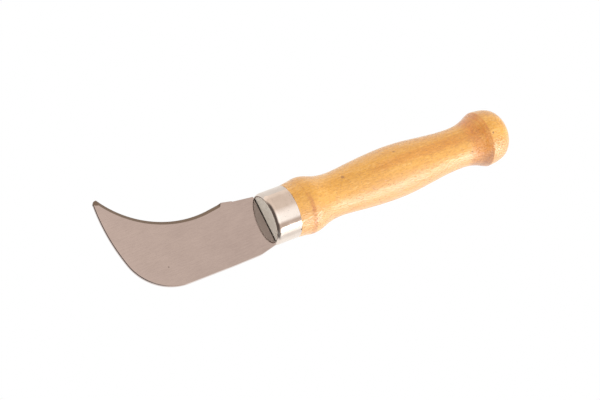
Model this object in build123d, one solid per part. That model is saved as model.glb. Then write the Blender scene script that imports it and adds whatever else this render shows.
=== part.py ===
from build123d import *
import math
import os

# A leatherworking head knife: a curved steel blade with a concave inner edge, a nickel-plated
# ferrule and a turned hardwood handle. All sizes are in millimetres.
#
# The knife is drawn about its handle axis, which is the X axis: X = 0 is the front of the ferrule,
# the blade points to -X and the pommel to +X, and the blade lies flat in the XY plane. At the end
# everything is moved so that the origin is under the middle of the bounding box.

# --- Driving dimensions ---------------------------------------------------------------------------

# Blade
BLADE_THICKNESS = 1.6
BLADE_GAP = 0.1                # between the blade's shoulder and the front of the ferrule
NECK_HALF_WIDTH = 14.7         # of the straight side of the blade
SHOULDER_HALF_WIDTH = 12.1     # where the blade meets the ferrule, on the hook's side
SHOULDER_BELLY_EXTRA = 0.4     # more width of the shoulder on the belly's side

STRAIGHT_END = -22.0           # neck end of the straight side
STRAIGHT_CORNER = (-8.2, -14.4)   # where the straight side turns in to the shoulder
NOTCH_START = (-10.6, 13.7)    # small step where the neck narrows to the shoulder
NOTCH_END = (-10.1, 13.3)

BELLY_START = -45.2            # end of the straight side
BELLY_RADIUS = 23.3
FRONT_RADIUS = 92.1            # long gentle curve from the belly up to the tip
BELLY_ANGLE = 14.5             # degrees above the -X direction where the belly meets the front
BELLY_CENTRE = (BELLY_START, BELLY_RADIUS - NECK_HALF_WIDTH)
FRONT_CENTRE = (
    BELLY_CENTRE[0] + (FRONT_RADIUS - BELLY_RADIUS) * math.cos(math.radians(BELLY_ANGLE)),
    BELLY_CENTRE[1] + (FRONT_RADIUS - BELLY_RADIUS) * math.sin(math.radians(BELLY_ANGLE)),
)

TIP_Y = 33.8                   # top of the front curve, where the blunt tip starts
TIP_CROWN = (-69.2, 35.5)
TIP_FACET_START = (-68.5, 33.0)
TIP_FACET_ANGLE = -18.4        # degrees from +X of the facet's inner boundary
TIP_FACET_LENGTH = 2.3
TIP_FACET_BLOCK = (20.0, 10.0)    # length, and width and height, of the block that grinds it

HOOK_CENTRE = (-28.7, 58.8)    # of the concave edge
HOOK_RADIUS = 45.5
HOOK_TIP_X = -67.9             # tip end of the concave edge
HOOK_ARC_END_X = -20.5          # where it leaves the circle and runs straight to the neck corner
HOOK_CORNER = (-15.3, 14.68)    # neck end of the concave edge

HOOK_BEVEL_WIDTH = 1.5         # ground on the upper face along the concave edge
HOOK_BEVEL_DEPTH = 1.0
HOOK_BEVEL_RUNOUT = 1.6        # degrees left unground before the neck corner
EDGE_BEVEL_WIDTH = 0.8         # sharpened on both faces along the convex edge
EDGE_BEVEL_DEPTH = 0.6

# Tang
TANG_WIDTH = 11.0
TANG_THICKNESS = 1.4
TANG_END = 54.0
TANG_TAPER_LENGTH = 9.0
TANG_TIP_WIDTH = 4.0

# Ferrule and its slotted end disc
FERRULE_RADIUS = 12.5
FERRULE_WALL = 0.6
FERRULE_LENGTH = 12.6
FERRULE_BORE = FERRULE_RADIUS - FERRULE_WALL
MOUTH_RADIUS = 11.35
CROWN_RADIUS = 3.3             # of the arc that rolls the front in from the tube to the mouth
CROWN_Y = FERRULE_RADIUS - CROWN_RADIUS
CROWN_X = math.sqrt(CROWN_RADIUS**2 - (MOUTH_RADIUS - CROWN_Y)**2)
FERRULE_CLEARANCE = 0.05
DISC_FRONT = 0.4
DISC_BACK = 2.0
DISC_RADIUS = 11.1
DISC_EDGE = 0.2                # rounding of the disc's front edge
SLOT_LENGTH = 20.4
SLOT_WIDTH = 1.8
STAKE_RADIUS = 0.7             # punch mark that locks the ferrule to the wood
STAKE_DEPTH = 0.3
STAKE_ANGLE = 156.0            # degrees about the axis, from +Y towards +Z

# Handle. Its outside is a smooth curve through points given as (X, radius).
GRIP_POINTS = [
    (17.0, 12.95),
    (20.7, 13.49),             # collar
    (24.8, 12.85),
    (29.0, 11.5),
    (35.2, 10.55),             # neck
    (45.5, 11.15),
    (57.0, 12.15),
    (68.0, 12.6),              # swell
    (80.0, 12.0),
    (93.2, 10.5),
    (103.0, 9.92),             # waist
    (110.2, 10.48),
    (114.4, 11.75),
]
POMMEL_CREST = (118.6, 13.5)   # widest ring, where the flare meets the dome
DOME_POINTS = [(123.6, 13.0), (128.2, 11.1), (131.2, 7.2)]
HANDLE_END = 132.3
FERRULE_SLOPE = (1, 0.1)       # direction of the grip's curve where it leaves the ferrule
FLARE_SLOPE = (1, 0.35)        # direction of the grip's curve at the pommel's crest
DOME_SLOPE = (1, -0.02)        # direction of the dome's curve at the pommel's crest
SHOULDER_RADIUS = FERRULE_RADIUS - FERRULE_CLEARANCE
TANG_BORE_RADIUS = 6.2
TANG_BORE_END = 58.0


def rotate_about_axis(profile):
    """Turn a half outline, drawn with Y as the radius, about the handle axis."""
    return revolve(make_face(profile), axis=Axis.X)


def turned_cylinder(radius, start, end):
    """A solid cylinder on the handle axis."""
    return Plane.YZ.offset(start) * extrude(Circle(radius), end - start)


def on_circle(centre, radius, angle):
    """Point of a circle at an angle in degrees, anticlockwise from +X."""
    turned = math.radians(angle)
    return (centre[0] + radius * math.cos(turned), centre[1] + radius * math.sin(turned))


def circle_height(centre, radius, x):
    """Y of the lower half of a circle at a given X."""
    return centre[1] - math.sqrt(radius**2 - (x - centre[0])**2)


# --- Blade ----------------------------------------------------------------------------------------

def blade_outline():
    """Closed outline of the blade, seen from above, without its tang."""
    straight_y = -NECK_HALF_WIDTH
    belly_end = on_circle(BELLY_CENTRE, BELLY_RADIUS, 180 + BELLY_ANGLE)
    belly_middle = on_circle(BELLY_CENTRE, BELLY_RADIUS, 225 + BELLY_ANGLE / 2)
    front_top_angle = 180 - math.degrees(math.asin((TIP_Y - FRONT_CENTRE[1]) / FRONT_RADIUS))
    front_top = on_circle(FRONT_CENTRE, FRONT_RADIUS, front_top_angle)
    front_middle = on_circle(FRONT_CENTRE, FRONT_RADIUS, (180 + BELLY_ANGLE + front_top_angle) / 2)
    hook_tip = (HOOK_TIP_X, circle_height(HOOK_CENTRE, HOOK_RADIUS, HOOK_TIP_X))
    hook_arc_end = (HOOK_ARC_END_X, circle_height(HOOK_CENTRE, HOOK_RADIUS, HOOK_ARC_END_X))
    hook_bottom = (HOOK_CENTRE[0], HOOK_CENTRE[1] - HOOK_RADIUS)

    shoulder_bottom = (-BLADE_GAP, -SHOULDER_HALF_WIDTH - SHOULDER_BELLY_EXTRA)
    shoulder_top = (-BLADE_GAP, SHOULDER_HALF_WIDTH)

    convex_side = [
        Line(shoulder_bottom, STRAIGHT_CORNER),
        Line(STRAIGHT_CORNER, (STRAIGHT_END, straight_y)),
        Line((STRAIGHT_END, straight_y), (BELLY_START, straight_y)),
        ThreePointArc((BELLY_START, straight_y), belly_middle, belly_end),
        ThreePointArc(belly_end, front_middle, front_top),
    ]
    tip = [ThreePointArc(front_top, TIP_CROWN, hook_tip)]
    concave_side = [
        ThreePointArc(hook_tip, hook_bottom, hook_arc_end),
        Line(hook_arc_end, HOOK_CORNER),
        Line(HOOK_CORNER, NOTCH_START),
        Line(NOTCH_START, NOTCH_END),
        Line(NOTCH_END, shoulder_top),
    ]
    shoulder = [Line(shoulder_top, shoulder_bottom)]
    return convex_side + tip + concave_side + shoulder


def grinding_wedge(centre, radius, side, width, depth, angles):
    """Ring-shaped wedge that grinds a bevel on the upper face, along an arc of the outline.

    The side is 1 where the blade lies inside the arc and -1 where it lies outside. The angles are
    the start and end of the ground stretch, in degrees anticlockwise from +X about the centre.
    """
    top = BLADE_THICKNESS / 2
    slope = depth / width
    face_radius = radius - side * width
    over = 0.5
    beyond = 1.0
    section = Polyline(
        (face_radius - side * over, top + over * slope),
        (radius + side * beyond, top - depth - beyond * slope),
        (radius + side * beyond, top + over * slope),
        close=True,
    )
    radial = Vector(1, 0, 0).rotate(Axis.Z, angles[0])
    wedge_plane = Plane(origin=(*centre, 0), x_dir=radial, z_dir=radial.cross(Vector(0, 0, 1)))
    arc_axis = Axis((*centre, 0), (0, 0, 1))
    return revolve(wedge_plane * make_face(section), arc_axis, angles[1] - angles[0])


def tip_facet():
    """Block that grinds the facet across the blunt tip, on the upper face."""
    top = BLADE_THICKNESS / 2
    across = Vector(1, 0, 0).rotate(Axis.Z, TIP_FACET_ANGLE)
    tilt = math.degrees(math.atan(HOOK_BEVEL_DEPTH / TIP_FACET_LENGTH))
    normal = Vector(0, 0, 1).rotate(Axis((0, 0, 0), across), -tilt)
    facet_plane = Plane(origin=(*TIP_FACET_START, top), x_dir=across, z_dir=normal)
    length, width = TIP_FACET_BLOCK
    return facet_plane * Pos(0, width / 2, width / 2) * Box(length, width, width)


def make_tang():
    """Flat tang that tapers at its end."""
    half_width = TANG_WIDTH / 2
    half_tip = TANG_TIP_WIDTH / 2
    taper_start = TANG_END - TANG_TAPER_LENGTH
    outline = Polyline(
        (-BLADE_GAP, -half_width),
        (taper_start, -half_width),
        (TANG_END, -half_tip),
        (TANG_END, half_tip),
        (taper_start, half_width),
        (-BLADE_GAP, half_width),
        close=True,
    )
    return extrude(make_face(outline), TANG_THICKNESS / 2, both=True)


def make_blade(tang):
    plate = extrude(make_face(blade_outline()), BLADE_THICKNESS / 2, both=True)
    corner_angle = math.degrees(math.acos((HOOK_CORNER[0] - HOOK_CENTRE[0]) / HOOK_RADIUS))
    hook_wedge = grinding_wedge(
        HOOK_CENTRE, HOOK_RADIUS, -1, HOOK_BEVEL_WIDTH, HOOK_BEVEL_DEPTH,
        (200, 360 - corner_angle - HOOK_BEVEL_RUNOUT),
    )
    belly_wedge = grinding_wedge(
        BELLY_CENTRE, BELLY_RADIUS, 1, EDGE_BEVEL_WIDTH, EDGE_BEVEL_DEPTH,
        (180 + BELLY_ANGLE, 270),
    )
    front_wedge = grinding_wedge(
        FRONT_CENTRE, FRONT_RADIUS, 1, EDGE_BEVEL_WIDTH, EDGE_BEVEL_DEPTH,
        (170, 180 + BELLY_ANGLE),
    )
    blade = plate - hook_wedge - tip_facet()
    for wedge in (belly_wedge, front_wedge):
        blade = blade - wedge - mirror(wedge, Plane.XY)
    return blade + tang


# --- Ferrule and end disc -------------------------------------------------------------------------

def arc_on_crown(radius, start, end):
    """Arc about the crown's centre between two points given by their X, drawn with Y as radius."""
    middle = (start + end) / 2
    points = [(x, CROWN_Y + math.sqrt(radius**2 - (CROWN_X - x)**2)) for x in (start, middle, end)]
    return ThreePointArc(*points)


def make_ferrule():
    """Drawn tube whose front is rolled in around the end disc."""
    inner_crown = CROWN_RADIUS - FERRULE_WALL
    mouth_depth = CROWN_X - math.sqrt(inner_crown**2 - (MOUTH_RADIUS - CROWN_Y)**2)
    outline = [
        Line((FERRULE_LENGTH, FERRULE_BORE), (FERRULE_LENGTH, FERRULE_RADIUS)),
        Line((FERRULE_LENGTH, FERRULE_RADIUS), (CROWN_X, FERRULE_RADIUS)),
        arc_on_crown(CROWN_RADIUS, CROWN_X, 0),
        Line((0, MOUTH_RADIUS), (mouth_depth, MOUTH_RADIUS)),
        arc_on_crown(inner_crown, mouth_depth, CROWN_X),
        Line((CROWN_X, FERRULE_BORE), (FERRULE_LENGTH, FERRULE_BORE)),
    ]
    stake_reach = FERRULE_RADIUS + STAKE_RADIUS - STAKE_DEPTH
    stake_angle = math.radians(STAKE_ANGLE)
    stake_y = stake_reach * math.cos(stake_angle)
    stake_z = stake_reach * math.sin(stake_angle)
    stake = Pos(FERRULE_LENGTH, stake_y, stake_z) * Sphere(STAKE_RADIUS)
    return rotate_about_axis(outline) - stake


def make_disc():
    """Disc set back a little in the ferrule's mouth, with a slot for the tang."""
    disc = turned_cylinder(DISC_RADIUS, DISC_FRONT, DISC_BACK)
    disc = fillet(disc.edges().sort_by(Axis.X)[0], DISC_EDGE)
    slot = Pos(DISC_BACK / 2, 0, 0) * Box(2 * DISC_BACK, SLOT_LENGTH, SLOT_WIDTH)
    return disc - slot


# --- Handle and adhesive --------------------------------------------------------------------------

def make_handle():
    """Turned hardwood handle with a tenon for the ferrule and a bore for the tang."""
    tenon_radius = FERRULE_BORE - FERRULE_CLEARANCE
    grip_start = (FERRULE_LENGTH, SHOULDER_RADIUS)
    handle_end = (HANDLE_END, 0)
    grip = Spline(grip_start, *GRIP_POINTS, POMMEL_CREST, tangents=[FERRULE_SLOPE, FLARE_SLOPE])
    dome = Spline(POMMEL_CREST, *DOME_POINTS, handle_end, tangents=[DOME_SLOPE, (0, -1)])
    outline = [
        Line((DISC_BACK, 0), (DISC_BACK, tenon_radius)),
        Line((DISC_BACK, tenon_radius), (FERRULE_LENGTH, tenon_radius)),
        Line((FERRULE_LENGTH, tenon_radius), grip_start),
        grip,
        dome,
        Line(handle_end, (DISC_BACK, 0)),
    ]
    bore = turned_cylinder(TANG_BORE_RADIUS, DISC_BACK, TANG_BORE_END)
    return rotate_about_axis(outline) - bore


def make_adhesive(tang):
    """Cured adhesive that fills the bore around the tang."""
    return turned_cylinder(TANG_BORE_RADIUS, DISC_BACK, TANG_BORE_END) - tang


# --- Assembly -------------------------------------------------------------------------------------

def export_parts(parts):
    """Write each part with the origin under the middle of the whole knife's bounding box."""
    box = Compound(list(parts.values())).bounding_box()
    shift = Pos(-box.center().X, -box.center().Y, -box.min.Z)
    os.makedirs("parts", exist_ok=True)
    for name, part in parts.items():
        export_step(shift * part, f"parts/{name}.step")


tang = make_tang()
export_parts({
    "blade": make_blade(tang),
    "ferrule": make_ferrule(),
    "ferrule_disc": make_disc(),
    "handle": make_handle(),
    "tang_adhesive": make_adhesive(tang),
})
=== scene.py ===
import math
from collections import namedtuple

import bpy
from mathutils import Matrix, Vector


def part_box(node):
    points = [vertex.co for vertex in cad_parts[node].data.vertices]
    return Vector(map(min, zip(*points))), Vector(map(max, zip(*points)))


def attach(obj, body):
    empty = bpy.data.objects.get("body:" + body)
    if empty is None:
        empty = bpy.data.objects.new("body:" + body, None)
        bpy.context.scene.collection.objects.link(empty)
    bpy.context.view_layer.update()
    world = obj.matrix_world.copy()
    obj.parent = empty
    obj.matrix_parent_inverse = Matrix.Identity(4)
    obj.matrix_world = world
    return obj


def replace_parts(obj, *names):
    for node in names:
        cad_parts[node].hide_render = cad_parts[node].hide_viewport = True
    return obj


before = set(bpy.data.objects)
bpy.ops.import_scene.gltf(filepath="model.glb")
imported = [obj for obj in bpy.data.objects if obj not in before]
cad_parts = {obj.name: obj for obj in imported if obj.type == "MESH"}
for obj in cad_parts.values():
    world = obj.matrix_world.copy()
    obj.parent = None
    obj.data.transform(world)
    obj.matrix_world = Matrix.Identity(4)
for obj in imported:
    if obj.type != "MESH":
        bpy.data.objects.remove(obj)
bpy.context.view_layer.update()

MM = 0.001

# --- Where things are -----------------------------------------------------------------------------
# Pieces are drawn in the knife's own frame, in millimetres: X = 0 is the front of the ferrule, the
# X axis is the handle's axis, the blade points to -X and its flat lies in the XY plane.

handle_low, handle_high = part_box("handle")
ferrule_low, ferrule_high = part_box("ferrule")
disc_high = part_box("ferrule_disc")[1]
adhesive_low, adhesive_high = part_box("tang_adhesive")
blade_low, blade_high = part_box("blade")

KNIFE_ORIGIN = Vector((
    ferrule_low.x,
    (handle_low.y + handle_high.y) / 2,
    (handle_low.z + handle_high.z) / 2,
))


def knife_x(point):
    """X in the knife's own frame, in millimetres, of a point in the row frame."""
    return (point.x - KNIFE_ORIGIN.x) / MM


# --- Blade dimensions (mm) ------------------------------------------------------------------------

BLADE_HALF = (blade_high.z - blade_low.z) / MM / 2
BLADE_GAP = 0.1
NECK_HALF_WIDTH = 14.7
SHOULDER_HALF_WIDTH = 12.1
BELLY_START = -45.2
BELLY_RADIUS = 23.3
BELLY_ANGLE = 14.5
FRONT_RADIUS = 92.1
BELLY_CENTRE = (BELLY_START, BELLY_RADIUS - NECK_HALF_WIDTH)
FRONT_CENTRE = (
    BELLY_CENTRE[0] + (FRONT_RADIUS - BELLY_RADIUS) * math.cos(math.radians(BELLY_ANGLE)),
    BELLY_CENTRE[1] + (FRONT_RADIUS - BELLY_RADIUS) * math.sin(math.radians(BELLY_ANGLE)),
)
TIP_Y = 33.8
TIP_CROWN = (-69.2, 35.5)
TIP_FACET_LINE = ((-67.7, 32.75), (-69.5, 33.3))
HOOK_CENTRE = (-28.7, 58.8)
HOOK_RADIUS = 45.5
HOOK_TIP_X = -67.9
HOOK_CORNER_X = -15.5
HOOK_CORNER_STEPS = ((-10.1, 13.3), (-10.6, 13.7))    # (x, y) between the shoulder and the corner
HOOK_BEVEL = (1.65, 1.0)         # width and depth
HOOK_RUNOUT = 0.035              # share of the edge's length over which its bevel fades in
HOOK_FLARE = 0.6                 # how far the concave edge opens out at the neck corner
HOOK_FLARE_SHARE = 0.12          # of the edge's length over which it opens out
EDGE_BEVEL = (0.32, 0.24)
EDGE_RUNOUT = 0.08
STRAIGHT_END_X = -22.0
NECK_STEPS = ((-9.6, 0.27), (-8.2, 0.36), (-7.0, 0.63))    # (x, how far the side has come in)
SHOULDER_STEP = 0.4              # how much wider the shoulder is on the straight side
PLAIN_SPACING = 2.0              # of the points along the unground rim
BREAK_WIDTH = 0.07               # of the small broken edge where nothing is ground
BREAK_DROP = 0.03
TANG_START_X = -0.5
TANG_HALF_WIDTH = 5.5
TANG_HALF = 0.7
TANG_TAPER = 9.0
TANG_TIP_HALF_WIDTH = 2.0

# --- Ferrule dimensions (mm) ----------------------------------------------------------------------

FERRULE_RADIUS = (ferrule_high.z - ferrule_low.z) / MM / 2
FERRULE_LENGTH = knife_x(ferrule_high)
FERRULE_WALL = 0.6
MOUTH_RADIUS = 11.35
LIP_X = 0.25                     # where the rolled edge ends in a flat lip
LIP_RADIUS = 11.14
LIP_OUTER_RADIUS = 11.55
LIP_ROUND = 0.08                 # of the lip's two edges
BACK_CHAMFER = 0.12
CROWN_RADIUS = 3.3
CROWN_Y = FERRULE_RADIUS - CROWN_RADIUS
CROWN_X = math.sqrt(CROWN_RADIUS**2 - (MOUTH_RADIUS - CROWN_Y)**2)
STAKE_ANGLE = math.radians(156)
STAKE_SIZE = 0.75
STAKE_DEPTH = 0.3

# --- Handle dimensions (mm) -----------------------------------------------------------------------

BORE_RADIUS = (adhesive_high.z - adhesive_low.z) / MM / 2
BORE_END = knife_x(adhesive_high)
BORE_TIP_RADIUS = 0.05           # the bore's end closes to this
BORE_MARGIN = 1.0                # points of the CAD handle this near the bore belong to it
TENON_CLEARANCE = 0.05
TENON_RADIUS = FERRULE_RADIUS - FERRULE_WALL - TENON_CLEARANCE
POMMEL_X = 100.0                 # the pommel's widest ring lies beyond this


# --- Mesh helpers ---------------------------------------------------------------------------------

def smoothstep(value):
    """0 below 0, 1 above 1, and smooth between."""
    t = min(max(value, 0.0), 1.0)
    return t * t * (3 - 2 * t)


def add_piece(name, mesh, sharp_angle, materials):
    """Place a mesh, drawn in the knife's own frame in metres, as a piece of the object."""
    mesh.polygons.foreach_set("use_smooth", [True] * len(mesh.polygons))
    mesh.set_sharp_from_angle(angle=math.radians(sharp_angle))
    for material in materials:
        mesh.materials.append(material)
    piece = bpy.data.objects.new(name, mesh)
    piece.location = KNIFE_ORIGIN
    bpy.context.scene.collection.objects.link(piece)
    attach(piece, "root")
    return piece


def mesh_from(name, points_mm, faces):
    mesh = bpy.data.meshes.new(name)
    mesh.from_pydata([Vector(p) * MM for p in points_mm], [], faces)
    mesh.validate()
    return mesh


def lathe(profile, segments, reshape=None):
    """Points and faces of a closed ring profile of (x, radius) pairs, turned about the X axis."""
    points = []
    for x, radius in profile:
        for step in range(segments):
            angle = 2 * math.pi * step / segments
            r = radius if reshape is None else reshape(x, radius, angle)
            points.append((x, r * math.cos(angle), r * math.sin(angle)))
    faces = []
    rows = len(profile)
    for row in range(rows):
        below = (row + 1) % rows
        for step in range(segments):
            turn = (step + 1) % segments
            faces.append((
                row * segments + step,
                row * segments + turn,
                below * segments + turn,
                below * segments + step,
            ))
    return points, faces


def on_circle(centre, radius, angle):
    """Point of a circle at an angle in degrees, anticlockwise from +X."""
    turned = math.radians(angle)
    return Vector((centre[0] + radius * math.cos(turned), centre[1] + radius * math.sin(turned)))


def between(start, end, count, last=True):
    """Evenly spaced values from start to end, with or without the last one."""
    return [start + (end - start) * i / (count - 1 if last else count) for i in range(count)]


def arc_through(first, middle, last, count):
    """Evenly spaced points of the circle arc through three points."""
    ax, ay = middle - first
    bx, by = last - first
    cross = 2 * (ax * by - ay * bx)
    ux = (by * (ax * ax + ay * ay) - ay * (bx * bx + by * by)) / cross
    uy = (ax * (bx * bx + by * by) - bx * (ax * ax + ay * ay)) / cross
    centre = first + Vector((ux, uy))
    radius = (first - centre).length
    start = math.degrees(math.atan2(first.y - centre.y, first.x - centre.x))
    end = math.degrees(math.atan2(last.y - centre.y, last.x - centre.x))
    if end < start:
        end += 360
    return [on_circle(centre, radius, a) for a in between(start, end, count)]


# --- Blade ----------------------------------------------------------------------------------------
# A station is one place along the rim: its outer point, and for each face the inner point where the
# bevel meets the face and the bevel's depth. None for an inner point means a small broken edge, made
# once the whole rim is known. The finish of the rim there is POLISHED or GROUND. The tang is SCALED.

Station = namedtuple("Station", "outer upper upper_drop lower lower_drop finish")
POLISHED, GROUND, SCALED = range(3)


def hook_stations():
    """Concave edge, from the neck corner to the tip, bevelled on the upper face only."""
    corner = -math.degrees(math.acos((HOOK_CORNER_X - HOOK_CENTRE[0]) / HOOK_RADIUS))
    tip = -math.degrees(math.acos((HOOK_TIP_X - HOOK_CENTRE[0]) / HOOK_RADIUS))
    facet = Vector(TIP_FACET_LINE[0]) - Vector(HOOK_CENTRE)
    inner_tip = math.degrees(math.atan2(facet.y, facet.x))
    width, depth = HOOK_BEVEL
    stations = []
    for share in between(0, 1, count=110):
        ground = smoothstep(share / HOOK_RUNOUT)
        radius = HOOK_RADIUS + HOOK_FLARE * max(0.0, 1 - share / HOOK_FLARE_SHARE)**2
        outer = on_circle(HOOK_CENTRE, radius, corner + (tip - corner) * share)
        offset = BREAK_WIDTH + (width - BREAK_WIDTH) * ground
        inner = on_circle(HOOK_CENTRE, radius + offset, corner + (inner_tip - corner) * share)
        drop = BREAK_DROP + (depth - BREAK_DROP) * ground
        stations.append(Station(outer, inner, drop, None, BREAK_DROP, GROUND))
    return stations


def convex_stations(front_top_angle):
    """Front curve and belly, sharpened from both faces, from below the tip to the straight side."""
    width, depth = EDGE_BEVEL
    arcs = [
        (FRONT_CENTRE, FRONT_RADIUS, a)
        for a in between(front_top_angle, 180 + BELLY_ANGLE, count=60, last=False)
    ]
    arcs += [
        (BELLY_CENTRE, BELLY_RADIUS, a)
        for a in between(180 + BELLY_ANGLE, 270, count=60, last=False)
    ]
    stations = []
    for index, (centre, radius, angle) in enumerate(arcs):
        share = index / len(arcs)
        ground = smoothstep((1 - share) / EDGE_RUNOUT)
        offset = BREAK_WIDTH + (width - BREAK_WIDTH) * ground
        drop = BREAK_DROP + (depth - BREAK_DROP) * ground
        outer = on_circle(centre, radius, angle)
        inner = on_circle(centre, radius - offset, angle)
        stations.append(Station(outer, inner, drop, inner, drop, POLISHED))
    return stations


def tip_stations(hook_tip, front_top):
    """Blunt tip with a facet ground across its upper face."""
    outline = arc_through(hook_tip, Vector(TIP_CROWN), front_top, count=14)[1:-1]
    start, end = (Vector(p) for p in TIP_FACET_LINE)
    stations = []
    for index, outer in enumerate(outline):
        share = (index + 1) / (len(outline) + 1)
        inner = start.lerp(end, share)
        drop = HOOK_BEVEL[1] + (EDGE_BEVEL[1] - HOOK_BEVEL[1]) * smoothstep(share)
        stations.append(Station(outer, inner, drop, None, BREAK_DROP, GROUND))
    return stations


def plain_stations(corners):
    """Unground stretch of the rim through some corner points."""
    stations = []
    for first, last in zip(corners, corners[1:]):
        steps = max(1, round((last - first).length / PLAIN_SPACING))
        for share in between(0, 1, steps, last=False):
            here = first.lerp(last, share)
            stations.append(Station(here, None, BREAK_DROP, None, BREAK_DROP, POLISHED))
    return stations


def blade_stations():
    """The whole rim of the blade, anticlockwise seen from above."""
    front_top_angle = 180 - math.degrees(math.asin((TIP_Y - FRONT_CENTRE[1]) / FRONT_RADIUS))
    hook = hook_stations()
    convex = convex_stations(front_top_angle)
    tip = tip_stations(hook[-1].outer, convex[0].outer)
    plain = plain_stations([Vector(p) for p in (
        (BELLY_START, -NECK_HALF_WIDTH),
        (STRAIGHT_END_X, -NECK_HALF_WIDTH),
        *((x, inset - NECK_HALF_WIDTH) for x, inset in NECK_STEPS),
        (-BLADE_GAP, -SHOULDER_HALF_WIDTH - SHOULDER_STEP),
        (-BLADE_GAP, SHOULDER_HALF_WIDTH),
        *HOOK_CORNER_STEPS,
        hook[0].outer,
    )])
    return hook + tip + convex + plain


def broken_edge(outline, index):
    """Point just inside the rim, square to it."""
    before, here, after = outline[index - 1], outline[index], outline[(index + 1) % len(outline)]
    along = (here - before).normalized() + (after - here).normalized()
    inward = Vector((-along.y, along.x)).normalized()
    return here + inward * BREAK_WIDTH


def blade_mesh():
    """Two flat faces, the rim between them in three bands, and the tang."""
    stations = blade_stations()
    outline = [station.outer for station in stations]
    count = len(stations)
    rings = [[], [], [], []]
    for index, station in enumerate(stations):
        inside = broken_edge(outline, index)
        upper = inside if station.upper is None else station.upper
        lower = inside if station.lower is None else station.lower
        rings[0].append((*upper, BLADE_HALF))
        rings[1].append((*station.outer, BLADE_HALF - station.upper_drop))
        rings[2].append((*station.outer, station.lower_drop - BLADE_HALF))
        rings[3].append((*lower, -BLADE_HALF))
    points = [point for ring in rings for point in ring]
    faces = [tuple(range(count)), tuple(reversed(range(3 * count, 4 * count)))]
    finishes = [POLISHED, POLISHED]
    for ring in range(3):
        for step, station in enumerate(stations):
            turn = (step + 1) % count
            finishes.append(station.finish)
            faces.append((
                ring * count + step,
                (ring + 1) * count + step,
                (ring + 1) * count + turn,
                ring * count + turn,
            ))
    add_tang(points, faces)
    finishes += [SCALED] * (len(faces) - len(finishes))
    mesh = mesh_from("blade_mesh", points, faces)
    mesh.polygons.foreach_set("material_index", finishes)
    return mesh


def add_tang(points, faces):
    """Add the flat tang, which starts just inside the blade and tapers at its end."""
    end = knife_x(blade_high)
    outline = [
        (TANG_START_X, -TANG_HALF_WIDTH),
        (end - TANG_TAPER, -TANG_HALF_WIDTH),
        (end, -TANG_TIP_HALF_WIDTH),
        (end, TANG_TIP_HALF_WIDTH),
        (end - TANG_TAPER, TANG_HALF_WIDTH),
        (TANG_START_X, TANG_HALF_WIDTH),
    ]
    first = len(points)
    count = len(outline)
    for z in (TANG_HALF, -TANG_HALF):
        points += [(x, y, z) for x, y in outline]
    faces.append(tuple(range(first, first + count)))
    faces.append(tuple(reversed(range(first + count, first + 2 * count))))
    for step in range(count):
        turn = (step + 1) % count
        faces.append((first + step, first + count + step, first + count + turn, first + turn))


# --- Ferrule --------------------------------------------------------------------------------------

def on_crown(radius, start, end, count):
    """Points (x, radius) of an arc about the crown's centre, between two places along the axis."""
    angles = between(math.asin((CROWN_X - start) / radius), math.asin((CROWN_X - end) / radius), count)
    return [(CROWN_X - radius * math.sin(a), CROWN_Y + radius * math.cos(a)) for a in angles]


def ferrule_mesh():
    """Drawn tube whose front is rolled in, with a punch mark at its back edge."""
    inner_crown = CROWN_RADIUS - FERRULE_WALL
    mouth_depth = CROWN_X - math.sqrt(inner_crown**2 - (MOUTH_RADIUS - CROWN_Y)**2)
    back = FERRULE_LENGTH
    chamfer = back - BACK_CHAMFER
    bore = FERRULE_RADIUS - FERRULE_WALL
    outside = [(x, FERRULE_RADIUS) for x in between(chamfer, CROWN_X, count=46, last=False)]
    crown = on_crown(CROWN_RADIUS, CROWN_X, LIP_X + LIP_ROUND, count=16)
    mouth = [
        (LIP_X + LIP_ROUND / 8, LIP_OUTER_RADIUS + LIP_ROUND),
        (LIP_X, LIP_OUTER_RADIUS),
        (LIP_X, LIP_RADIUS + LIP_ROUND),
        (LIP_X + LIP_ROUND / 2, LIP_RADIUS),
        (mouth_depth, LIP_RADIUS),
        (mouth_depth, MOUTH_RADIUS),
    ]
    inside = on_crown(inner_crown, mouth_depth, CROWN_X, count=8)[1:]
    end = [(chamfer, bore), (back, bore + BACK_CHAMFER), (back, FERRULE_RADIUS - BACK_CHAMFER)]

    def punched(x, radius, angle):
        """The radius, pressed in round the punch mark, most at the outside of the wall."""
        across = (angle - STAKE_ANGLE) * FERRULE_RADIUS
        distance = math.hypot(across, back - x) / STAKE_SIZE
        outer_share = (radius - bore) / FERRULE_WALL
        return radius - STAKE_DEPTH * max(0.0, outer_share) * smoothstep(1.3 - distance)

    points, faces = lathe(outside + crown + mouth + inside + end, segments=320, reshape=punched)
    return mesh_from("ferrule_mesh", points, faces)


# --- Handle ---------------------------------------------------------------------------------------

def turned_profile():
    """(x, radius) along the outside of the handle, read from the CAD handle."""
    widest = {}
    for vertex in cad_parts["handle"].data.vertices:
        local = vertex.co - KNIFE_ORIGIN
        x = round(local.x / MM, 2)
        radius = math.hypot(local.y, local.z) / MM
        in_bore = x < BORE_END + BORE_MARGIN and radius < BORE_RADIUS + BORE_MARGIN
        if x >= round(FERRULE_LENGTH, 2) and not in_bore:
            widest[x] = max(radius, widest.get(x, 0.0))
    return sorted(widest.items())


def thinned(profile, spacing):
    """The profile without rows that lie closer than the spacing to the kept row before or to the end."""
    rows = [profile[0]]
    for row in profile[1:-1]:
        if math.dist(row, rows[-1]) >= spacing and math.dist(row, profile[-1]) >= spacing:
            rows.append(row)
    return rows + [profile[-1]]


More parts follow.
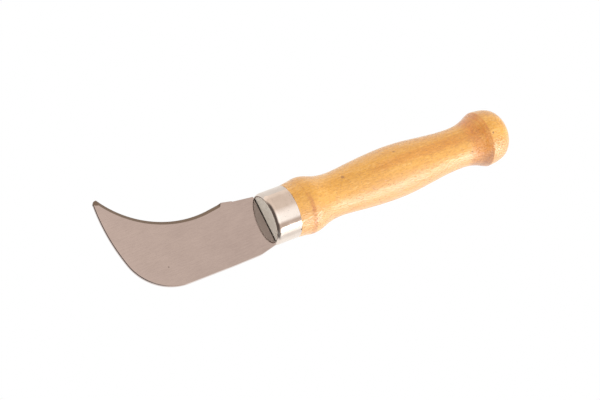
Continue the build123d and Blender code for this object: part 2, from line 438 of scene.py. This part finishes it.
def smoothed(profile, spacing):
    """Rows on a smooth curve through the profile, about evenly spaced."""
    points = [Vector(row) for row in profile]
    slopes = []
    for index in range(len(points)):
        before = points[max(index - 1, 0)]
        after = points[min(index + 1, len(points) - 1)]
        slopes.append((after - before).normalized())
    rows = []
    for index, (first, last) in enumerate(zip(points, points[1:])):
        span = (last - first).length
        for t in between(0, 1, max(1, round(span / spacing)), last=False):
            rows.append(
                first * (1 + 2 * t) * (1 - t)**2 + last * t * t * (3 - 2 * t)
                + slopes[index] * span * t * (1 - t)**2 - slopes[index + 1] * span * t * t * (1 - t)
            )
    return [(row.x, row.y) for row in rows] + [profile[-1]]


def handle_mesh():
    """The turned outside, the tenon inside the ferrule and the bore for the tang."""
    profile = turned_profile()
    crest = max((row for row in profile if row[0] > POMMEL_X), key=lambda row: row[1])
    grip = thinned([row for row in profile if row[0] <= crest[0]], spacing=1.0)
    dome = thinned([row for row in profile if row[0] >= crest[0]], spacing=0.6)
    outside = smoothed(grip, spacing=0.5) + smoothed(dome, spacing=0.4)[1:]
    tenon_start = knife_x(disc_high)
    inside = [
        (BORE_END, BORE_TIP_RADIUS),
        (BORE_END, BORE_RADIUS),
        (tenon_start, BORE_RADIUS),
        (tenon_start, TENON_RADIUS),
        (outside[0][0], TENON_RADIUS),
    ]
    segments = 160
    ring_points, ring_faces = lathe(outside + inside, segments)
    open_row = len(outside) - 1
    faces = [f for i, f in enumerate(ring_faces) if i // segments != open_row]
    faces.append(tuple(open_row * segments + s for s in range(segments)))
    faces.append(tuple((open_row + 1) * segments + s for s in reversed(range(segments))))
    return mesh_from("handle_mesh", ring_points, faces)


# --- Materials ------------------------------------------------------------------------------------

PIT_COLOUR = (0.12, 0.10, 0.09)
PIT_PLACE = (-51.0, -4.6, BLADE_HALF)
# Painted shade in the ferrule's punch mark.
PUNCH_SHADE_COLOUR = (0.10, 0.075, 0.06)
# Painted shade of the gap along the disc's joint with the blade.
GAP_SHADE_COLOUR = (0.06, 0.045, 0.035)

WOOD_TONES = [
    (0.38, (0.70, 0.288, 0.006)),
    (0.50, (0.88, 0.435, 0.032)),
    (0.62, (1.00, 0.575, 0.130)),
]
# Painted sheen: a paler colour for the straight side, where the light falls.
PAINTED_SHEEN_WOOD = (0.74, 0.38, 0.14)
PORE_COLOUR = (0.50, 0.18, 0.012)
KNOT_COLOUR = (0.34, 0.11, 0.015)
# Painted shade: a duller tint for the hook's side, away from the light.
HOOK_SIDE_SHADE_TINT = (0.92, 0.90, 0.88)
STRIPE_TINT = (0.93, 0.72, 0.60)
STAIN_TINT = (0.88, 0.58, 0.08)
SOILED_TINT = (0.50, 0.45, 0.24)
COLLAR_TINT = (0.80, 0.58, 0.25)

# Places on the handle, as (start, end) in mm along its axis or across it.
STRIPE_ALONG = (50.0, 116.0)
STRIPE_ACROSS = (-2.0, 4.5)
# Where the painted sheen and the painted shade lie, across the handle.
SHEEN_SIDE_SPAN = (-3.0, -9.0)
HOOK_SIDE = (3.0, 9.0)
STRAIGHT_HALF = (5.0, -5.0)
SOILED_SIDE = (-8.0, -12.0)
COLLAR_BAND = (18.0, 20.9)
COLLAR_LINE = (18.3, 19.1)
STAIN_FADES_IN = (106.5, 110.5)
STAIN_FADES_OUT = (118.2, 118.8)

# Small dark marks in the wood, as (centre in mm, radius in mm, strength).
KNOTS = [
    ((40.0, 3.5, 10.0), 1.1, 0.7),
    ((69.0, 6.1, 11.0), 0.9, 0.6),
    ((119.8, -2.7, 13.1), 0.7, 0.8),
    ((108.0, -6.6, 7.7), 0.8, 0.6),
]


class Nodes:
    """A short way to write a material's or the world's nodes."""

    def __init__(self, owner):
        owner.use_nodes = True
        self.tree = owner.node_tree
        self.tree.nodes.clear()

    def add(self, kind, inputs=None, **settings):
        node = self.tree.nodes.new(kind)
        for name, value in settings.items():
            setattr(node, name, value)
        for name, value in (inputs or {}).items():
            self.put(node, name, value)
        return node

    def put(self, node, name, value):
        """Set an input to a constant, or link it to another node's output."""
        socket = node.inputs[name]
        if isinstance(value, bpy.types.NodeSocket):
            self.tree.links.new(value, socket)
        else:
            socket.default_value = value

    def math(self, operation, *values):
        node = self.add("ShaderNodeMath", operation=operation)
        for index, value in enumerate(values):
            self.put(node, index, value)
        return node.outputs[0]

    def times(self, first, second):
        return self.math("MULTIPLY", first, second)

    def line(self, value, slope, offset):
        """value * slope + offset."""
        return self.math("MULTIPLY_ADD", value, slope, offset)

    def split(self, vector):
        """The X, Y and Z of a vector."""
        return tuple(self.add("ShaderNodeSeparateXYZ", {"Vector": vector}).outputs)

    def ramp(self, factor, stops):
        """Colour ramp with (position, colour) stops; a colour may be one grey value."""
        node = self.add("ShaderNodeValToRGB", {"Fac": factor})
        elements = node.color_ramp.elements
        while len(elements) < len(stops):
            elements.new(0.5)
        for element, (position, colour) in zip(elements, stops):
            element.position = position
            values = (colour,) * 3 if isinstance(colour, (int, float)) else colour
            element.color = (*values, 1)
        return node.outputs["Color"]

    def mix(self, factor, first, second, blend="MIX"):
        """The first colour, changed towards or by the second as far as the factor says."""
        node = self.add("ShaderNodeMix", data_type="RGBA", blend_type=blend)
        for index, value in ((0, factor), (6, first), (7, second)):
            plain_colour = index > 0 and not isinstance(value, bpy.types.NodeSocket)
            self.put(node, index, (*value, 1) if plain_colour else value)
        return node.outputs[2]

    def tinted(self, factor, colour, tint):
        """The colour, multiplied by the tint as far as the factor says."""
        return self.mix(factor, colour, tint, "MULTIPLY")

    def noise(self, vector, scale, detail, roughness, distortion=0.0):
        node = self.add("ShaderNodeTexNoise", {
            "Vector": vector, "Scale": scale, "Detail": detail,
            "Roughness": roughness, "Distortion": distortion,
        })
        return node.outputs["Fac"]

    def mapped(self, vector, scale=(1, 1, 1), location=(0, 0, 0), rotation=(0, 0, 0)):
        node = self.add("ShaderNodeMapping", {
            "Vector": vector, "Scale": scale, "Location": location, "Rotation": rotation,
        })
        return node.outputs["Vector"]

    def grain(self, place, scale, detail, roughness, distortion=0.0, rotation=(0, 0, 0)):
        """Noise with a scale of its own along each axis."""
        stretched = self.mapped(place, scale=scale, rotation=rotation)
        return self.noise(stretched, 1.0, detail, roughness, distortion)

    def bump(self, height, strength, distance):
        node = self.add("ShaderNodeBump", {"Height": height, "Strength": strength, "Distance": distance})
        return node.outputs["Normal"]

    def surface(self, **inputs):
        """Principled shader straight to the output."""
        shader = self.add("ShaderNodeBsdfPrincipled")
        for name, value in inputs.items():
            self.put(shader, name.replace("_", " "), value)
        output = self.add("ShaderNodeOutputMaterial")
        self.tree.links.new(shader.outputs["BSDF"], output.inputs["Surface"])


def new_material(name):
    """A material, its nodes, and the place on the piece in its mesh's own frame, in millimetres."""
    material = bpy.data.materials.new(name)
    n = Nodes(material)
    place = n.add("ShaderNodeTexCoord").outputs["Object"]
    return material, n, n.mapped(place, scale=(1000, 1000, 1000))


def rise(n, value, start, end):
    """0 at start, 1 at end, smooth between and flat beyond."""
    node = n.add("ShaderNodeMapRange", {"Value": value, "From Min": start, "From Max": end})
    node.interpolation_type = "SMOOTHSTEP"
    return node.outputs["Result"]


def window(n, value, start, end, soft):
    """1 between start and end, 0 outside, with soft shoulders of the given width."""
    falling = n.math("SUBTRACT", 1.0, rise(n, value, end - soft, end))
    return n.times(rise(n, value, start, start + soft), falling)


def spot(n, place, centre, radius):
    """1 near a place, in millimetres, fading to 0 at a distance of the radius."""
    apart = n.add("ShaderNodeVectorMath", operation="DISTANCE")
    n.put(apart, 0, place)
    n.put(apart, 1, centre)
    return n.math("SUBTRACT", 1.0, rise(n, apart.outputs["Value"], radius * 0.4, radius))


def weighted(n, *terms):
    """Sum of (value, weight) terms."""
    total = 0.0
    for value, weight in terms:
        total = n.line(value, weight, total)
    return total


def blade_steel():
    """Finely ground and polished sheet: faint lines along the blade, cloudy patches and one pit."""
    material, n, place = new_material("blade_steel")
    lines = n.grain(place, (0.16, 2.8, 2.8), 3.0, 0.6, rotation=(0, 0, 0.12))
    clouds = n.noise(place, 0.07, 3.0, 0.55)
    specks = n.grain(place, (0.9, 2.0, 2.0), 3.0, 0.6)
    tone = weighted(n, (clouds, 0.3), (lines, 0.4), (specks, 0.3))
    tint = n.ramp(tone, [(0.38, (0.462, 0.403, 0.392)), (0.62, (0.538, 0.472, 0.458))])
    pit = n.times(spot(n, place, PIT_PLACE, 0.5), 0.6)
    tint = n.mix(pit, tint, PIT_COLOUR)
    roughness = n.line(clouds, 0.06, 0.045)
    normal = n.bump(lines, 0.06, 0.0001)
    n.surface(Base_Color=tint, Metallic=1.0, Roughness=roughness, Normal=normal)
    return material


def ground_steel():
    """Coarser grinding on the concave edge's bevel and the tip, with marks across the edge. Its dark
    colour is painted shade, where the bevel would mirror the bright room.
    """
    material, n, place = new_material("ground_steel")
    marks = n.grain(place, (5.0, 5.0, 0.6), 3.0, 0.6)
    # Painted shade: the ground steel is drawn much darker than steel is.
    tint = n.ramp(marks, [(0.3, (0.155, 0.12, 0.095)), (0.7, (0.235, 0.185, 0.148))])
    normal = n.bump(marks, 0.2, 0.0001)
    n.surface(Base_Color=tint, Metallic=1.0, Roughness=0.34, Normal=normal)
    return material


def scaled_steel():
    """Unpolished tang, dark from hardening, and drawn darker still as painted shade in the gap at the
    joint.
    """
    material, n, place = new_material("scaled_steel")
    patches = n.noise(place, 0.8, 4.0, 0.6)
    # Partly painted shade: the tang is drawn near black so that the gap at the disc shows dark.
    tint = n.ramp(patches, [(0.3, (0.035, 0.032, 0.03)), (0.7, (0.09, 0.08, 0.07))])
    n.surface(Base_Color=tint, Metallic=0.6, Roughness=0.6)
    return material


def nickel_plate():
    """Bright plating over a drawn tube: faint lines around it, tiny pits, smears, and painted shade in
    the punch mark.
    """
    material, n, place = new_material("nickel_plate")
    drawn = n.grain(place, (2.2, 0.12, 0.12), 4.0, 0.6)
    smears = n.noise(place, 0.22, 3.0, 0.55)
    pits = n.add("ShaderNodeTexVoronoi", {"Vector": place, "Scale": 0.7}).outputs["Distance"]
    pitted = n.ramp(pits, [(0.05, 0.35), (0.1, 1.0)])
    tint = n.ramp(smears, [(0.3, (0.64, 0.57, 0.52)), (0.7, (0.70, 0.63, 0.58))])
    tint = n.tinted(1.0, tint, pitted)
    punch_mark = (
        FERRULE_LENGTH,
        FERRULE_RADIUS * math.cos(STAKE_ANGLE),
        FERRULE_RADIUS * math.sin(STAKE_ANGLE),
    )
    # Painted shade: the plating is drawn dark where the punch mark's dent is.
    tint = n.mix(spot(n, place, punch_mark, STAKE_SIZE), tint, PUNCH_SHADE_COLOUR)
    roughness = n.line(smears, 0.16, 0.03)
    normal = n.bump(drawn, 0.05, 0.0001)
    n.surface(Base_Color=tint, Metallic=1.0, Roughness=roughness, Normal=normal)
    return material


def disc_metal():
    """Dull tinned disc, with painted shade along the joint with the blade, where the gap lies."""
    material, n, row_place = new_material("disc_metal")
    place = n.mapped(row_place, location=tuple(-v / MM for v in KNIFE_ORIGIN))
    grainy = n.noise(place, 2.5, 3.0, 0.6)
    clouds = n.noise(place, 0.35, 3.0, 0.5)
    tint = n.ramp(clouds, [(0.3, (0.94, 0.90, 0.81)), (0.7, (1.0, 0.96, 0.87))])
    off_the_flat = n.math("ABSOLUTE", n.split(place)[2])
    # Painted shade: the disc is drawn dark near the blade's flat, where the gap at the joint is.
    gap_shade = n.math("SUBTRACT", 1.0, rise(n, off_the_flat, 0.8, 1.25))
    tint = n.mix(gap_shade, tint, GAP_SHADE_COLOUR)
    normal = n.bump(grainy, 0.12, 0.0001)
    n.surface(Base_Color=tint, Roughness=0.55, Specular_IOR_Level=0.2, Normal=normal)
    return material


def bare_wood(n, place, sheen_side):
    """Golden wood with bands and fibres, and a redder stripe along its upper side. Painted sheen makes
    it paler on the straight side of the knife, and painted shade makes it duller on the hook's side."""
    along, across, _ = n.split(place)
    bands = n.grain(place, (0.016, 0.16, 0.16), 2.0, 0.5, 0.4)
    streaks = n.grain(place, (0.06, 1.0, 1.0), 4.0, 0.65)
    mottle = n.grain(place, (0.5, 1.4, 1.4), 3.0, 0.6)
    fibres = n.grain(place, (0.45, 3.6, 3.6), 3.0, 0.65)
    tone = weighted(n, (bands, 0.27), (streaks, 0.24), (mottle, 0.34), (fibres, 0.15))
    colour = n.ramp(tone, WOOD_TONES)
    # Painted sheen: the straight side is drawn paler.
    colour = n.mix(n.times(sheen_side, 0.6), colour, PAINTED_SHEEN_WOOD)
    # Painted shade: the hook's side is drawn darker.
    colour = n.tinted(rise(n, across, *HOOK_SIDE), colour, HOOK_SIDE_SHADE_TINT)
    stripe = n.times(window(n, along, *STRIPE_ALONG, 12.0), window(n, across, *STRIPE_ACROSS, 2.0))
    return n.tinted(n.times(stripe, 0.45), colour, STRIPE_TINT)


def pore_mask(n, place):
    """1 in the small pores, which are longer along the handle than across it."""
    stretched = n.mapped(place, scale=(0.7, 1.7, 1.7))
    cells = n.add("ShaderNodeTexVoronoi", {"Vector": stretched, "Scale": 1.0})
    return n.ramp(cells.outputs["Distance"], [(0.18, 1.0), (0.42, 0.0)])


def pore_strength(n, place, sheen_side):
    """Pores stand out in patches, and most on the side with the painted sheen."""
    patches = rise(n, n.noise(place, 0.35, 3.0, 0.6), 0.38, 0.62)
    return n.line(n.times(patches, n.line(sheen_side, 0.6, 0.4)), 0.7, 0.2)


def worn(n, place, colour):
    """Stained rings beside the pommel, and a worn ring on the collar."""
    along, across, _ = n.split(place)
    rings = n.grain(place, (1.5, 0.02, 0.02), 3.0, 0.7)
    blotches = n.grain(place, (0.5, 0.3, 0.3), 3.0, 0.6)
    stain = n.line(rings, 1.6, n.line(blotches, 1.2, -0.72))
    flare = n.math("SUBTRACT", rise(n, along, *STAIN_FADES_IN), rise(n, along, *STAIN_FADES_OUT))
    stained = n.times(flare, stain)
    colour = n.tinted(stained, colour, STAIN_TINT)
    colour = n.tinted(n.times(stained, rise(n, across, *SOILED_SIDE)), colour, SOILED_TINT)

    uneven = rise(n, n.grain(place, (0.7, 0.55, 0.55), 3.0, 0.6), 0.36, 0.60)
    collar = n.times(window(n, along, *COLLAR_BAND, 1.1), rise(n, across, *STRAIGHT_HALF))
    collar = n.times(collar, n.line(uneven, 0.65, 0.4))
    ring = n.times(window(n, along, *COLLAR_LINE, 0.4), n.line(uneven, 0.4, 0.1))
    return n.tinted(n.math("MAXIMUM", collar, ring), colour, COLLAR_TINT)


def handle_wood():
    """Golden hardwood under gloss lacquer: bands and fibres along the axis, pores, turned rings."""
    material, n, place = new_material("handle_wood")
    # The straight side, where the painted sheen goes.
    sheen_side = rise(n, n.split(place)[1], *SHEEN_SIDE_SPAN)
    pore = pore_mask(n, place)
    pores = n.times(pore, pore_strength(n, place, sheen_side))
    colour = n.mix(pores, bare_wood(n, place, sheen_side), PORE_COLOUR)
    colour = worn(n, place, colour)
    for centre, radius, strength in KNOTS:
        colour = n.mix(n.times(spot(n, place, centre, radius), strength), colour, KNOT_COLOUR)

    waves = n.grain(place, (0.5, 1.5, 1.5), 3.0, 0.6)
    normal = n.bump(n.line(pore, -0.2, waves), 1.0, 0.00025)
    n.surface(
        Base_Color=colour, Roughness=0.45, Specular_IOR_Level=0.3, Normal=normal,
        Coat_Weight=1.0, Coat_IOR=1.8, Coat_Roughness=0.20, Coat_Normal=normal,
    )
    return material


def cured_adhesive():
    """Milky resin round the tang."""
    material, n, place = new_material("cured_adhesive")
    milky = n.noise(place, 0.4, 4.0, 0.6)
    colour = n.ramp(milky, [(0.3, (0.20, 0.13, 0.06)), (0.7, (0.30, 0.21, 0.10))])
    n.surface(Base_Color=colour, Roughness=0.4)
    return material


# --- Pieces ---------------------------------------------------------------------------------------

steels = [blade_steel(), ground_steel(), scaled_steel()]
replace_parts(add_piece("blade_plate", blade_mesh(), 12, steels), "blade")
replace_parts(add_piece("ferrule_tube", ferrule_mesh(), 40, [nickel_plate()]), "ferrule")
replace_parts(add_piece("turned_handle", handle_mesh(), 60, [handle_wood()]), "handle")

for node, material in (("ferrule_disc", disc_metal()), ("tang_adhesive", cured_adhesive())):
    cad_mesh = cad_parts[node].data
    cad_mesh.materials.clear()
    cad_mesh.materials.append(material)


# --- Studio ---------------------------------------------------------------------------------------

WHITE = (1, 1, 1, 1)
FLOOR_HALF = 2.5                 # metres
FLOOR_LIGHT = (1, 0.97, 0.93, 1)

# The room's colours.
PLUS_Y_HORIZON = (1.17, 1.04, 0.93)
PLUS_Y_LOW = (1.12, 0.99, 0.88)
WALL = (0.96, 0.83, 0.73)
OVERHEAD_EDGE = (1.43, 1.37, 1.32)
OVERHEAD = (1.50, 1.47, 1.43)
GAP = (0.76, 0.63, 0.55)
MINUS_Y_HORIZON = (1.30, 1.17, 1.07)
DIM_CORNER = (0.20, 0.17, 0.15)
PANEL = (10.0, 9.8, 9.6)
FRONT = (0.13, 0.11, 0.10)
FRONT_LAMP = (2.1, 2.05, 1.98)
FRONT_LAMP_TOWARDS = Vector((-1.0, 0.0, 0.17)).normalized()

CAMERA_TURNS = (-60.2, 62.3, -36.45)    # azimuth, elevation and roll, in degrees
CAMERA_DISTANCE = 0.8042                # metres
CAMERA_AIM = (20.47, 3.11, 0)           # millimetres, in the knife's own frame


def make_floor():
    """White light table. The camera sees it plain white. By its light it is brighter towards -Y,
    but dark there beside the blade."""
    corners = [(x * FLOOR_HALF, y * FLOOR_HALF, 0) for x, y in ((-1, -1), (1, -1), (1, 1), (-1, 1))]
    mesh = bpy.data.meshes.new("floor")
    mesh.from_pydata(corners, [], [(0, 1, 2, 3)])
    material = bpy.data.materials.new("floor_white")
    n = Nodes(material)
    along, across, _ = n.split(n.add("ShaderNodeTexCoord").outputs["Object"])
    glow = n.line(rise(n, across, 0.08, -0.10), 0.15, 1.0)
    glow = n.line(rise(n, across, -0.062, -0.11), 0.55, glow)
    glow = n.line(window(n, across, -0.047, -0.022, 0.008), 0.16, glow)
    shaded = n.times(rise(n, across, -0.035, -0.06), rise(n, along, -0.02, -0.05))
    glow = n.times(glow, n.line(shaded, -0.85, 1.0))
    seen = n.add("ShaderNodeEmission", {"Color": WHITE, "Strength": 1.0})
    cast = n.add("ShaderNodeEmission", {"Color": FLOOR_LIGHT, "Strength": glow})
    mix_for_camera(n, cast, seen, "ShaderNodeOutputMaterial")
    mesh.materials.append(material)
    floor = bpy.data.objects.new("floor", mesh)
    bpy.context.scene.collection.objects.link(floor)


def mix_for_camera(n, cast, seen, output_kind):
    """One shader for what the camera sees directly and another for all light and reflections."""
    path = n.add("ShaderNodeLightPath")
    chosen = n.add("ShaderNodeMixShader", {"Fac": path.outputs["Is Camera Ray"]})
    n.tree.links.new(cast.outputs[0], chosen.inputs[1])
    n.tree.links.new(seen.outputs[0], chosen.inputs[2])
    output = n.add(output_kind)
    n.tree.links.new(chosen.outputs[0], output.inputs["Surface"])


def make_world():
    """Soft studio in bands about the X axis: 0 is the horizon at +Y, 0.5 is straight up and 1 is the
    horizon at -Y. A bright panel stands low at -Y, towards the pommel. The room beyond the tip is
    dark, with one lamp in it."""
    world = bpy.data.worlds.new("studio")
    bpy.context.scene.world = world
    n = Nodes(world)
    direction = n.add("ShaderNodeTexCoord").outputs["Generated"]
    ahead, sideways, upwards = n.split(direction)
    around = n.math("DIVIDE", n.math("ARCTAN2", upwards, sideways), math.pi)
    behind = n.times(ahead, -1.0)
    colour = n.ramp(around, [
        (0.0, PLUS_Y_HORIZON),
        (0.08, PLUS_Y_LOW),
        (0.13, WALL),
        (0.43, WALL),
        (0.555, OVERHEAD_EDGE),
        (0.61, OVERHEAD),
        (0.735, OVERHEAD),
        (0.80, GAP),
        (0.888, GAP),
        (0.918, MINUS_Y_HORIZON),
        (1.0, MINUS_Y_HORIZON),
    ])
    dim_corner = n.times(rise(n, around, 0.72, 0.80), rise(n, behind, 0.0, 0.45))
    colour = n.mix(dim_corner, colour, DIM_CORNER)
    panel = n.times(window(n, ahead, 0.05, 0.80, 0.2), rise(n, around, 0.880, 0.955))
    colour = n.mix(panel, colour, PANEL)
    front = n.math("SUBTRACT", rise(n, behind, 0.12, 0.58), rise(n, sideways, 0.5, 1.0))
    colour = n.mix(n.math("MAXIMUM", front, 0.0), colour, FRONT)
    near_lamp = n.add("ShaderNodeVectorMath", operation="DOT_PRODUCT")
    n.put(near_lamp, 0, direction)
    n.put(near_lamp, 1, FRONT_LAMP_TOWARDS)
    colour = n.mix(rise(n, near_lamp.outputs["Value"], 0.93, 0.97), colour, FRONT_LAMP)
    tip_side = n.line(rise(n, ahead, 0.37, 0.28), 0.10, 1.0)
    brighter = n.add("ShaderNodeVectorMath", operation="SCALE")
    n.put(brighter, 0, colour)
    n.put(brighter, "Scale", tip_side)
    cast = n.add("ShaderNodeBackground", {"Color": brighter.outputs["Vector"], "Strength": 1.0})
    seen = n.add("ShaderNodeBackground", {"Color": WHITE, "Strength": 1.0})
    mix_for_camera(n, cast, seen, "ShaderNodeOutputWorld")


def make_camera():
    """Long lens, looking down from the tip side, turned so that the handle rises to the right."""
    azimuth, elevation, roll = (math.radians(turn) for turn in CAMERA_TURNS)
    aim = KNIFE_ORIGIN + Vector(CAMERA_AIM) * MM
    back = Vector((
        math.sin(azimuth) * math.cos(elevation),
        -math.cos(azimuth) * math.cos(elevation),
        math.sin(elevation),
    ))
    data = bpy.data.cameras.new("camera")
    data.sensor_width = 36
    data.lens = 105.67
    camera = bpy.data.objects.new("camera", data)
    turned = (-back).to_track_quat("-Z", "Y").to_matrix() @ Matrix.Rotation(-roll, 3, "Z")
    camera.matrix_world = Matrix.Translation(aim + back * CAMERA_DISTANCE) @ turned.to_4x4()
    bpy.context.scene.collection.objects.link(camera)
    bpy.context.scene.camera = camera


make_floor()
make_world()
make_camera()
bpy.context.scene.view_settings.view_transform = "Standard"
